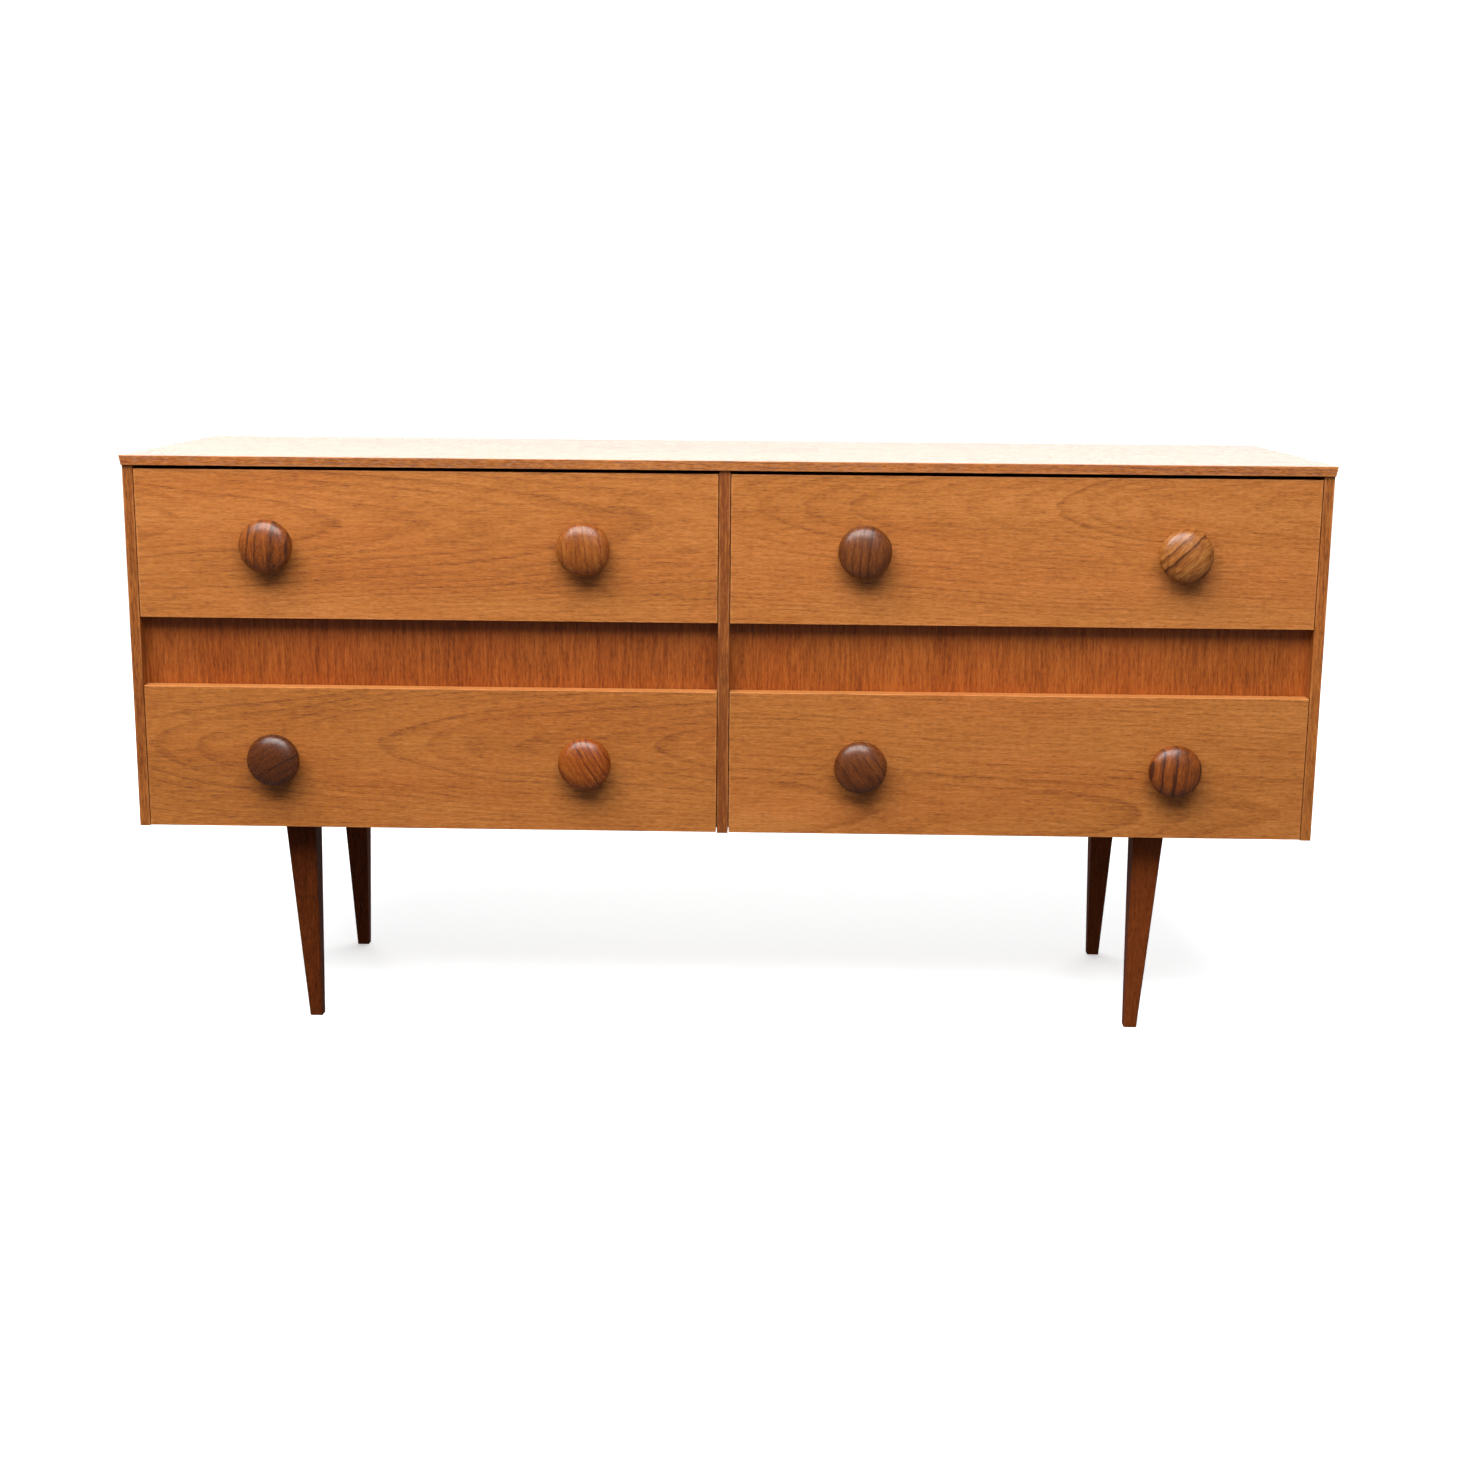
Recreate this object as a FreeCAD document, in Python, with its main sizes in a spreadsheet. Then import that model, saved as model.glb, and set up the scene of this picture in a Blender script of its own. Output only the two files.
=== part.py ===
import FreeCAD, Part
import math
import os

import Sketcher
from FreeCAD import Placement, Rotation, Vector

# A long, low chest of four drawers on tapered legs, as a parametric document in millimetres.
# Frame: +X to the right, -Y towards the person using it, +Z up, origin on the floor
# under the middle of the whole outline, knobs included.

doc = FreeCAD.newDocument("dresser")

# ---------------------------------------------------------------- driving dimensions
driving = [
    ("case_width", 1522, "across the outer faces of the two side panels"),
    ("case_depth", 440, "front edge to rear edge of a side panel"),
    ("case_height", 481, "lower edge of a side panel to the top surface"),
    ("leg_height", 280, "floor to the lower edge of the case"),
    ("top_thickness", 12.5, "top panel"),
    ("top_overhang_end", 2.5, "top panel past each side panel, at the top surface"),
    ("top_overhang_front", 4, "top panel past the front edges of the case"),
    ("side_thickness", 13, "side panels"),
    ("partition_thickness", 14, "upright panel between the two bays"),
    ("bottom_thickness", 15, "bottom panel"),
    ("bottom_lift", 2.5, "bottom panel above the lower edge of the case: room for the leg plates"),
    ("back_thickness", 4, "hardboard back"),
    ("back_rebate", 6, "how far the back runs into the rebates round the rear of the case"),
    ("back_slack", 0.5, "back panel short of its rebates, each way"),
    ("recess_thickness", 15, "fixed panel seen between the drawer fronts"),
    ("recess_setback", 20.5, "front face of that panel and of the bottom, behind the front edges"),
    ("recess_bottom", 176, "lower edge of that panel, above the lower edge of the case"),
    ("recess_height", 111, "height of that panel, part of it behind the drawer fronts"),
    ("front_thickness", 19, "drawer fronts"),
    ("front_gap", 1.2, "beside each drawer front"),
    ("front_arris", 0.8, "rounding of the front's outer edges"),
    ("upper_front_bottom", 275, "above the lower edge of the case"),
    ("upper_front_height", 189, ""),
    ("upper_box_bottom", 292, "above the lower edge of the case"),
    ("lower_front_bottom", 1, "above the lower edge of the case"),
    ("lower_front_height", 185, ""),
    ("lower_box_bottom", 22, "above the lower edge of the case"),
    ("box_height", 146, "drawer sides"),
    ("box_length", 396, "back face of the front to the rear end of a drawer side"),
    ("box_side", 12, "thickness of a drawer side"),
    ("box_back", 10, "thickness of a drawer back"),
    ("box_back_inset", 8, "drawer back in from the rear ends of the sides"),
    ("box_back_drop", 6, "top of the drawer back below the tops of the sides"),
    ("box_bottom", 4, "thickness of a drawer bottom"),
    ("box_bottom_lift", 8, "drawer bottom above the lower edges of the sides"),
    ("front_housing", 8, "how deep the sides are let into the front"),
    ("back_housing", 3, "how deep the drawer back is let into the sides"),
    ("bottom_groove", 5, "how deep the drawer bottom is let into the sides and front"),
    ("groove_slack", 0.2, "groove wider than the drawer bottom"),
    ("runner_gap", 4, "between a drawer side and the case"),
    ("runner_width", 9, "how far a runner stands out from the case"),
    ("runner_height", 12, ""),
    ("runner_length", 380, ""),
    ("runner_setback", 24, "front end of a runner behind the front edges"),
    ("runner_groove_depth", 6, "groove in the outer face of a drawer side"),
    ("runner_groove_height", 13, ""),
    ("groove_stop", 3, "front end of that groove behind the drawer front"),
    ("runner_play", 0.2, "between the top of a runner and the groove above it"),
    ("runner_screw_inset", 40, "screw to the end of a runner"),
    ("runner_screw", 4, "diameter of the screw's hole; its head is twice that"),
    ("knob_diameter", 68, ""),
    ("knob_projection", 34, "knob face in front of the drawer front"),
    ("knob_neck", 26, "diameter where the knob meets the drawer front"),
    ("knob_neck_length", 7, "drawer front to the underside of the knob's head"),
    ("knob_face", 48, "diameter of the slightly domed face, inside the rounded rim"),
    ("knob_face_drop", 2.8, "edge of that face behind its middle"),
    ("knob_under", 50, "diameter where the rim turns in to the underside"),
    ("knob_spacing", 401, "between the two knobs of a drawer"),
    ("knob_screw", 4, "diameter of the knob screw's shank"),
    ("knob_screw_grip", 15, "how far that screw runs into the knob"),
    ("knob_screw_hole", 5, "hole through the drawer front"),
    ("leg_top", 40, "side of the square at the top of a leg"),
    ("leg_taper_outer", 19.5, "how far the two outer faces come in on the way down"),
    ("leg_taper_inner", 3.5, "how far the two inner faces come in on the way down"),
    ("leg_chamfer", 1.5, "along the leg's edges"),
    ("foot_inset_x", 208, "foot's centre in from the outer face of the side panel"),
    ("foot_inset_front", 71, "front foot's centre in from the front of the case"),
    ("foot_inset_rear", 51, "rear foot's centre in from the rear of the case"),
    ("plate_size", 70, "steel plate over each leg"),
    ("plate_thickness", 2.5, ""),
    ("plate_screw_inset", 9, "screw's centre to the plate's edges"),
    ("plate_screw", 4, "diameter of the shank"),
    ("leg_bolt", 8, "diameter of the bolt that joins leg and plate"),
    ("leg_bolt_low", 30, "length of that bolt in the leg"),
    ("leg_bolt_high", 14, "length of that bolt above the leg"),
    ("dowel", 6, "diameter of the dowels in the case joints"),
    ("dowel_short", 8, "length in the face of a panel"),
    ("dowel_shallow", 5, "length in the face of the partition"),
    ("dowel_long", 22, "length in the end of a panel"),
    ("dowel_inset", 60, "first and last dowel from the ends of a joint"),
    ("dowel_row", 4, "dowels along a joint"),
    ("pin_proud", 0.4, "head of a back panel pin above the hardboard"),
]
sheet = doc.addObject("Spreadsheet::Sheet", "dims")
for row, (alias, value, note) in enumerate(driving, start=1):
    sheet.set(f"A{row}", note or alias.replace("_", " "))
    sheet.set(f"B{row}", str(value))
    sheet.setAlias(f"B{row}", alias)
doc.recompute()

# Each length that is worked out from the sheet gets a cell of its own on a second sheet.
worked = doc.addObject("Spreadsheet::Sheet", "worked")
cells = {}


def mm(expression):
    """The value of an expression on the sheet, as a number of millimetres."""
    if expression not in cells:
        cells[expression] = f"A{len(cells) + 1}"
        worked.set(cells[expression], f"={expression}")
        worked.recompute()
    return float(worked.get(cells[expression]))


# Places that several pieces share, as expressions on the sheet.
front_y = "((dims.knob_projection - dims.case_depth - dims.pin_proud) / 2)"
inner_x = "(dims.case_width / 2 - dims.side_thickness)"
half_partition = "(dims.partition_thickness / 2)"
bay_width = f"({inner_x} - {half_partition})"
side_height = "(dims.case_height - dims.top_thickness)"
inside_depth = "(dims.case_depth - dims.back_thickness)"
bottom_top = "(dims.bottom_lift + dims.bottom_thickness)"
box_width = f"({bay_width} - 2 * dims.runner_gap)"
let_in = "(dims.front_thickness - dims.front_housing)"
dowel_spread = f"({inside_depth} - 2 * dims.dowel_inset)"
dowel_step = f"({dowel_spread} / (dims.dowel_row - 1))"

built = []


# ---------------------------------------------------------------- helpers
def new_body(label, x="0", y="0", z="0", turn=0):
    """A body placed by three expressions, with y counted from the front edges of the case."""
    body = doc.addObject("PartDesign::Body", label)
    body.Label = label
    body.Placement = Placement(Vector(0, 0, 0), Rotation(Vector(0, 0, 1), turn))
    body.setExpression("Placement.Base.x", x)
    body.setExpression("Placement.Base.y", f"{front_y} + {y}")
    body.setExpression("Placement.Base.z", z)
    built.append(body)
    return body


def new_sketch(body, name, role, offset="0"):
    """A sketch on one of the body's origin planes, moved along that plane's normal."""
    sketch = body.newObject("Sketcher::SketchObject", name)
    plane = [f for f in body.Origin.OriginFeatures if f.Role == role][0]
    sketch.AttachmentSupport = [(plane, "")]
    sketch.MapMode = "FlatFace"
    sketch.setExpression("AttachmentOffset.Base.z", offset)
    return sketch


def pin_point(sketch, geometry, point, x, y):
    """Holds one point of a sketch at two expressions, measured from the sketch's origin."""
    for kind, axis, text in (("DistanceX", -2, x), ("DistanceY", -1, y)):
        if text == "0":
            sketch.addConstraint(Sketcher.Constraint("PointOnObject", geometry, point, axis))
        else:
            index = sketch.addConstraint(Sketcher.Constraint(kind, geometry, point, mm(text)))
            sketch.setExpression(f"Constraints[{index}]", text)


def outline(sketch, corners, arcs=None):
    """A closed outline through corners given as pairs of expressions. arcs maps the number of
    the corner a side starts from to the radius of an arc that bulges to the left of that side."""
    arcs = arcs or {}
    points = [Vector(mm(x), mm(y), 0) for x, y in corners]
    first = sketch.GeometryCount
    count = len(points)
    for i, start in enumerate(points):
        end = points[(i + 1) % count]
        if i in arcs:
            radius = mm(arcs[i])
            chord = end - start
            right = Vector(chord.y, -chord.x, 0).normalize()
            centre = (start + end) * 0.5 + right * math.sqrt(radius**2 - (chord.Length / 2) ** 2)
            angles = [math.atan2(p.y - centre.y, p.x - centre.x) for p in (end, start)]
            round_line = Part.Circle(centre, Vector(0, 0, 1), radius)
            sketch.addGeometry(Part.ArcOfCircle(round_line, *angles), False)
        else:
            sketch.addGeometry(Part.LineSegment(start, end), False)
    # An arc runs anticlockwise, so its own first point is the side's last.
    ends = [(2, 1) if i in arcs else (1, 2) for i in range(count)]
    for i in range(count):
        following = (i + 1) % count
        sketch.addConstraint(Sketcher.Constraint(
            "Coincident", first + i, ends[i][1], first + following, ends[following][0]))
        if i in arcs:
            index = sketch.addConstraint(Sketcher.Constraint("Radius", first + i, mm(arcs[i])))
            sketch.setExpression(f"Constraints[{index}]", arcs[i])
    for i, (x, y) in enumerate(corners):
        pin_point(sketch, first + i, ends[i][0], x, y)


def rectangle(sketch, left, low, width, height):
    """A rectangle whose corner and size are expressions."""
    right = f"{left} + {width}"
    high = f"{low} + {height}"
    outline(sketch, [(left, low), (right, low), (right, high), (left, high)])


def circle(sketch, x, y, diameter):
    index = sketch.addGeometry(Part.Circle(Vector(mm(x), mm(y), 0), Vector(0, 0, 1), mm(diameter) / 2))
    pin_point(sketch, index, 3, x, y)
    size = sketch.addConstraint(Sketcher.Constraint("Diameter", index, mm(diameter)))
    sketch.setExpression(f"Constraints[{size}]", diameter)


def pad(body, sketch, length, other_way=False):
    feature = body.newObject("PartDesign::Pad", sketch.Name + "_pad")
    feature.Profile = sketch
    feature.setExpression("Length", length)
    feature.Reversed = other_way
    doc.recompute()
    return feature


def cut(body, sketch, depth, other_way=False):
    """A pocket, refused if it takes nothing away."""
    before = body.Shape.Volume
    feature = body.newObject("PartDesign::Pocket", sketch.Name + "_pocket")
    feature.Profile = sketch
    feature.setExpression("Length", depth)
    feature.Reversed = other_way
    doc.recompute()
    if body.Shape.Volume > before - 1:
        raise RuntimeError(f"{feature.Name} cuts nothing")
    return feature


def repeat(body, feature, role, spread, count):
    """A row of copies of a feature along one of the body's axes."""
    axis = [f for f in body.Origin.OriginFeatures if f.Role == role][0]
    row = body.newObject("PartDesign::LinearPattern", feature.Name + "_row")
    row.Originals = [feature]
    row.Direction = (axis, [""])
    row.setExpression("Length", spread)
    row.setExpression("Occurrences", count)
    body.Tip = row
    doc.recompute()
    return row


def board(label, at, size):
    """A plain board: its near, lower, left corner at three expressions and its three sizes."""
    body = new_body(label, *at)
    sketch = new_sketch(body, label + "_outline", "XY_Plane")
    rectangle(sketch, "0", "0", size[0], size[1])
    pad(body, sketch, size[2])
    return body


def notch(body, name, corner, size):
    """A housing, groove or rebate with square sides, cut upwards from its lowest corner."""
    sketch = new_sketch(body, f"{body.Label}_{name}", "XY_Plane", corner[2])
    rectangle(sketch, corner[0], corner[1], size[0], size[1])
    return cut(body, sketch, size[2], other_way=True)


def drill(body, name, role, offset, x, y, diameter, depth, other_way=False):
    """One round hole, from a plane parallel to an origin plane."""
    sketch = new_sketch(body, f"{body.Label}_{name}", role, offset)
    circle(sketch, x, y, diameter)
    return cut(body, sketch, depth, other_way)


def round_over(body, y, radius):
    """Rounds the long level edges of a body's front face, which lies at an expression y."""
    front = mm(f"{front_y} + {y}")
    names = [f"Edge{number}" for number, edge in enumerate(body.Shape.Edges, start=1)
             if edge.BoundBox.XLength > 50 and abs(edge.BoundBox.YMin - front) < 1e-3
             and abs(edge.BoundBox.YMax - front) < 1e-3]
    base = body.Tip
    fillet = body.newObject("PartDesign::Fillet", body.Label + "_arris")
    fillet.Base = (base, names)
    fillet.setExpression("Radius", radius)
    body.Tip = fillet
    doc.recompute()


def group(label, shapes):
    """Separate identical pieces that share one node."""
    feature = doc.addObject("Part::Feature", label)
    feature.Label = label
    feature.Shape = Part.makeCompound(shapes)
    feature.Placement = Placement(Vector(0, mm(front_y), 0), Rotation())
    built.append(feature)
    return feature


# ---------------------------------------------------------------- case
def top_panel():
    """Veneered board with undercut ends, so that it overhangs at its upper face only."""
    label = "top_panel"
    body = new_body(label, "0", "-dims.top_overhang_front", f"dims.leg_height + {side_height}")
    sketch = new_sketch(body, label + "_section", "XZ_Plane")
    half = "dims.case_width / 2"
    wide = "dims.case_width / 2 + dims.top_overhang_end"
    outline(sketch, [(f"-({half})", "0"), (half, "0"), (wide, "dims.top_thickness"),
                     (f"-({wide})", "dims.top_thickness")])
    pad(body, sketch, "dims.case_depth + dims.top_overhang_front", other_way=True)
    rebate = f"({inner_x} + dims.back_rebate)"
    notch(body, "back_rebate", (f"-{rebate}", f"{inside_depth} + dims.top_overhang_front", "0"),
          (f"2 * {rebate}", "dims.back_thickness + 1", "dims.back_rebate"))
    middle = "(dims.case_width / 2 - dims.side_thickness / 2)"
    for name, x in (("left", f"-{middle}"), ("middle", "0"), ("right", middle)):
        hole = drill(body, f"dowel_{name}", "XY_Plane", "0", x,
                     "dims.top_overhang_front + dims.dowel_inset", "dims.dowel", "dims.dowel_short",
                     other_way=True)
        repeat(body, hole, "Y_Axis", dowel_spread, "dims.dowel_row")
    round_over(body, "-dims.top_overhang_front", "dims.front_arris")


def side_panel(hand):
    """Left or right side of the case, with a rebate for the back and holes for the dowels."""
    label = f"side_panel_{hand}"
    left = hand == "left"
    x = "-(dims.case_width / 2)" if left else inner_x
    body = board(label, (x, "0", "dims.leg_height"),
                 ("dims.side_thickness", "dims.case_depth", side_height))
    rebate_x = "dims.side_thickness - dims.back_rebate" if left else "0"
    notch(body, "back_rebate", (rebate_x, inside_depth, "0"),
          ("dims.back_rebate", "dims.back_thickness + 1", side_height))
    top_hole = drill(body, "top_dowel", "XY_Plane", side_height, "dims.side_thickness / 2",
                     "dims.dowel_inset", "dims.dowel", "dims.dowel_long")
    repeat(body, top_hole, "Y_Axis", dowel_spread, "dims.dowel_row")
    inner_face = "dims.side_thickness" if left else "0"
    low_hole = drill(body, "bottom_dowel", "YZ_Plane", inner_face, "dims.dowel_inset",
                     "dims.bottom_lift + dims.bottom_thickness / 2",
                     "dims.dowel", "dims.dowel_short", other_way=not left)
    repeat(body, low_hole, "Y_Axis", dowel_spread, "dims.dowel_row")
    rail_hole = drill(body, "recess_dowel", "YZ_Plane", inner_face,
                      "dims.recess_setback + dims.recess_thickness / 2",
                      "dims.recess_bottom + dims.recess_height / 4",
                      "dims.dowel", "dims.dowel_short", other_way=not left)
    repeat(body, rail_hole, "Z_Axis", "dims.recess_height / 2", "2")


def centre_partition():
    """Upright between the bays. Its front edge runs down past the bottom panel."""
    label = "centre_partition"
    body = board(label, (f"-{half_partition}", "0", "dims.leg_height"),
                 ("dims.partition_thickness", inside_depth, side_height))
    notch(body, "over_bottom", ("0", "dims.recess_setback", "0"),
          ("dims.partition_thickness", inside_depth, bottom_top))
    for name, z, depth, up in (("top", side_height, "dims.dowel_long", False),
                               ("bottom", bottom_top, "dims.dowel_long", True)):
        hole = drill(body, name + "_dowel", "XY_Plane", z, half_partition, "dims.dowel_inset",
                     "dims.dowel", depth, other_way=up)
        repeat(body, hole, "Y_Axis", dowel_spread, "dims.dowel_row")
    for name, x, away in (("left", "0", True), ("right", "dims.partition_thickness", False)):
        hole = drill(body, name + "_recess_dowel", "YZ_Plane", x,
                     "dims.recess_setback + dims.recess_thickness / 2",
                     "dims.recess_bottom + dims.recess_height / 4",
                     "dims.dowel", "dims.dowel_shallow", other_way=away)
        repeat(body, hole, "Z_Axis", "dims.recess_height / 2", "2")


def bottom_panel():
    """Board between the sides, behind the lower fronts, which carries the legs."""
    label = "bottom_panel"
    depth = f"({inside_depth} - dims.recess_setback)"
    body = board(label, (f"-{inner_x}", "dims.recess_setback", "dims.leg_height + dims.bottom_lift"),
                 (f"2 * {inner_x}", depth, "dims.bottom_thickness"))
    first = "dims.dowel_inset - dims.recess_setback"
    for name, face, away in (("left", "0", True), ("right", f"2 * {inner_x}", False)):
        hole = drill(body, name + "_dowel", "YZ_Plane", face, first, "dims.bottom_thickness / 2",
                     "dims.dowel", "dims.dowel_long", other_way=away)
        repeat(body, hole, "Y_Axis", dowel_spread, "dims.dowel_row")
    hole = drill(body, "partition_dowel", "XY_Plane", "dims.bottom_thickness", inner_x, first,
                 "dims.dowel", "dims.dowel_short")
    repeat(body, hole, "Y_Axis", dowel_spread, "dims.dowel_row")
    sketch = new_sketch(body, label + "_bolt_holes", "XY_Plane")
    for x, y in leg_centres():
        circle(sketch, f"{inner_x} + {x}", f"{y} - dims.recess_setback", "dims.leg_bolt + 1")
    cut(body, sketch, "dims.bottom_thickness", other_way=True)


def back_panel():
    """Hardboard in the rebates, over the rear edges of the partition and the bottom."""
    half = f"({inner_x} + dims.back_rebate - dims.back_slack)"
    low = "(dims.bottom_lift + 1)"
    board("back_panel", (f"-{half}", inside_depth, f"dims.leg_height + {low}"),
          (f"2 * {half}", "dims.back_thickness",
           f"{side_height} + dims.back_rebate - dims.back_slack - {low}"))


def recess_panel(hand):
    """Fixed upright-grained panel seen between the upper and lower fronts of one bay."""
    label = f"recess_panel_{hand}"
    body = board(label, (bay_x(hand), "dims.recess_setback", "dims.leg_height + dims.recess_bottom"),
                 (bay_width, "dims.recess_thickness", "dims.recess_height"))
    for name, face, away in (("left", "0", True), ("right", bay_width, False)):
        hole = drill(body, name + "_dowel", "YZ_Plane", face, "dims.recess_thickness / 2",
                     "dims.recess_height / 4", "dims.dowel", "dims.dowel_long", other_way=away)
        repeat(body, hole, "Z_Axis", "dims.recess_height / 2", "2")


def bay_x(hand):
    """Left edge of a bay."""
    return f"-{inner_x}" if hand == "left" else half_partition


# ---------------------------------------------------------------- legs
def leg_centres():
    """Centres of the four leg tops: x from the middle, y from the front edges."""
    lean = "(dims.leg_taper_outer - dims.leg_taper_inner) / 2"
    x = f"(dims.case_width / 2 - dims.foot_inset_x + {lean})"
    near = f"(dims.foot_inset_front - {lean})"
    far = f"(dims.case_depth - dims.foot_inset_rear + {lean})"
    return [(f"-{x}", near), (x, near), (x, far), (f"-{x}", far)]


def leg(label, number, turn):
    """Square leg with two faces nearly upright and the two outer ones tapered."""
    x, y = leg_centres()[number]
    body = new_body(label, x, y, "0", turn)
    foot = new_sketch(body, label + "_foot", "XY_Plane")
    low = "(dims.leg_taper_inner - dims.leg_top / 2)"
    chamfered_square(foot, low, "(dims.leg_top - dims.leg_taper_inner - dims.leg_taper_outer)")
    head = new_sketch(body, label + "_head", "XY_Plane", "dims.leg_height")
    chamfered_square(head, "(-dims.leg_top / 2)", "dims.leg_top")
    loft = body.newObject("PartDesign::AdditiveLoft", label + "_taper")
    loft.Profile = foot
    loft.Sections = [head]
    loft.Ruled = True
    doc.recompute()
    drill(body, "bolt_hole", "XY_Plane", "dims.leg_height", "0", "0", "dims.leg_bolt",
          "dims.leg_bolt_low + 1")


def chamfered_square(sketch, low, side):
    """A square from (low, low) with its corners taken off by the leg's chamfer."""
    high = f"({low} + {side})"
    near, far = f"({low} + dims.leg_chamfer)", f"({high} - dims.leg_chamfer)"
    outline(sketch, [(near, low), (far, low), (high, near), (high, far),
                     (far, high), (near, high), (low, far), (low, near)])


# ---------------------------------------------------------------- runners
def runner(row, hand, place):
    """Hardwood strip on the case that a drawer side's groove slides on."""
    label = f"runner_{row}_{hand}_{place}"
    at_left = (hand == "left") == (place == "outer")
    x = bay_x(hand) if at_left else f"{bay_x(hand)} + {bay_width} - dims.runner_width"
    z = f"dims.leg_height + dims.{row}_box_bottom + (dims.box_height - dims.runner_height) / 2"
    body = board(label, (x, "dims.runner_setback", z),
                 ("dims.runner_width", "dims.runner_length", "dims.runner_height"))
    face = "dims.runner_width" if at_left else "0"
    sketch = new_sketch(body, label + "_screw_hole", "YZ_Plane", face)
    circle(sketch, "dims.runner_screw_inset", "dims.runner_height / 2", "dims.runner_screw")
    doc.recompute()
    hole = body.newObject("PartDesign::Hole", label + "_hole")
    hole.Profile = sketch
    hole.Reversed = not at_left
    hole.setExpression("Diameter", "dims.runner_screw")
    hole.DepthType = "ThroughAll"
    hole.HoleCutType = "Countersink"
    hole.HoleCutCustomValues = True
    hole.setExpression("HoleCutDiameter", "2 * dims.runner_screw")
    hole.HoleCutCountersinkAngle = 90
    doc.recompute()
    repeat(body, hole, "Y_Axis", "dims.runner_length - 2 * dims.runner_screw_inset", "2")


# ---------------------------------------------------------------- drawers
def drawer(row, hand):
    """Front, two grooved sides, back, bottom, two knobs and their screws."""
    tag = f"{row}_{hand}"
    box_x = f"({bay_x(hand)} + dims.runner_gap)"
    box_z = f"(dims.leg_height + dims.{row}_box_bottom)"
    drawer_front(tag, row, hand)
    drawer_side(f"{tag}_side_left", box_x, box_z, True)
    drawer_side(f"{tag}_side_right", f"{box_x} + {box_width} - dims.box_side", box_z, False)

    back_low = "(dims.box_bottom_lift + dims.box_bottom + dims.groove_slack)"
    board(f"{tag}_back",
          (f"{box_x} + dims.box_side - dims.back_housing",
           "dims.front_thickness + dims.box_length - dims.box_back_inset - dims.box_back",
           f"{box_z} + {back_low}"),
          (f"{box_width} - 2 * (dims.box_side - dims.back_housing)", "dims.box_back",
           f"dims.box_height - dims.box_back_drop - {back_low}"))
    reach = "(dims.bottom_groove - dims.groove_slack)"
    board(f"{tag}_bottom",
          (f"{box_x} + dims.box_side - {reach}", f"dims.front_thickness - {reach}",
           f"{box_z} + dims.box_bottom_lift + dims.groove_slack / 2"),
          (f"{box_width} - 2 * (dims.box_side - {reach})", f"dims.box_length + {reach} - 2",
           "dims.box_bottom"))

    middle = f"({bay_x(hand)} + {bay_width} / 2)"
    knob_z = f"dims.leg_height + dims.{row}_front_bottom + dims.{row}_front_height / 2"
    screws = []
    for name, sign in (("left", "-"), ("right", "+")):
        knob_x = f"{middle} {sign} dims.knob_spacing / 2"
        knob(f"{tag}_knob_{name}", knob_x, knob_z)
        screws += knob_screw(mm(knob_x), mm(knob_z))
    group(f"{tag}_knob_screws", screws)


def drawer_front(tag, row, hand):
    """Drawer front with housings for the sides, a groove for the bottom and the knob holes."""
    width = f"({bay_width} - 2 * dims.front_gap)"
    height = f"dims.{row}_front_height"
    front = board(f"{tag}_front",
                  (f"{bay_x(hand)} + dims.front_gap", "0",
                   f"dims.leg_height + dims.{row}_front_bottom"),
                  (width, "dims.front_thickness", height))
    inset = "(dims.runner_gap - dims.front_gap)"
    box_up = f"(dims.{row}_box_bottom - dims.{row}_front_bottom)"
    for name, x in (("left", inset), ("right", f"{inset} + {box_width} - dims.box_side")):
        notch(front, name + "_housing", (x, let_in, box_up),
              ("dims.box_side", "dims.front_housing", "dims.box_height"))
    notch(front, "bottom_groove",
          (f"{inset} + dims.box_side", "dims.front_thickness - dims.bottom_groove",
           f"{box_up} + dims.box_bottom_lift"),
          (f"{box_width} - 2 * dims.box_side", "dims.bottom_groove",
           "dims.box_bottom + dims.groove_slack"))
    hole = drill(front, "knob_hole", "XZ_Plane", "0", f"({width} - dims.knob_spacing) / 2",
                 f"{height} / 2", "dims.knob_screw_hole", "dims.front_thickness")
    repeat(front, hole, "X_Axis", "dims.knob_spacing", "2")
    round_over(front, "0", "dims.front_arris")


def drawer_side(label, x, z, is_left):
    """Drawer side with the runner's groove outside, and a groove and a housing inside."""
    length = "(dims.box_length + dims.front_housing)"
    side = board(label, (x, let_in, z), ("dims.box_side", length, "dims.box_height"))

    def inward(depth):
        """Lower x of a cut in the inner face."""
        return f"dims.box_side - {depth}" if is_left else "0"

    notch(side, "runner_groove",
          ("0" if is_left else "dims.box_side - dims.runner_groove_depth",
           "dims.front_housing + dims.groove_stop",
           "(dims.box_height + dims.runner_height) / 2 + dims.runner_play"
           " - dims.runner_groove_height"),
          ("dims.runner_groove_depth", length, "dims.runner_groove_height"))
    notch(side, "bottom_groove", (inward("dims.bottom_groove"), "0", "dims.box_bottom_lift"),
          ("dims.bottom_groove", length, "dims.box_bottom + dims.groove_slack"))
    notch(side, "back_housing",
          (inward("dims.back_housing"), f"{length} - dims.box_back_inset - dims.box_back",
           "dims.box_bottom_lift + dims.box_bottom + dims.groove_slack"),
          ("dims.back_housing", "dims.box_back", "dims.box_height"))


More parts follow.
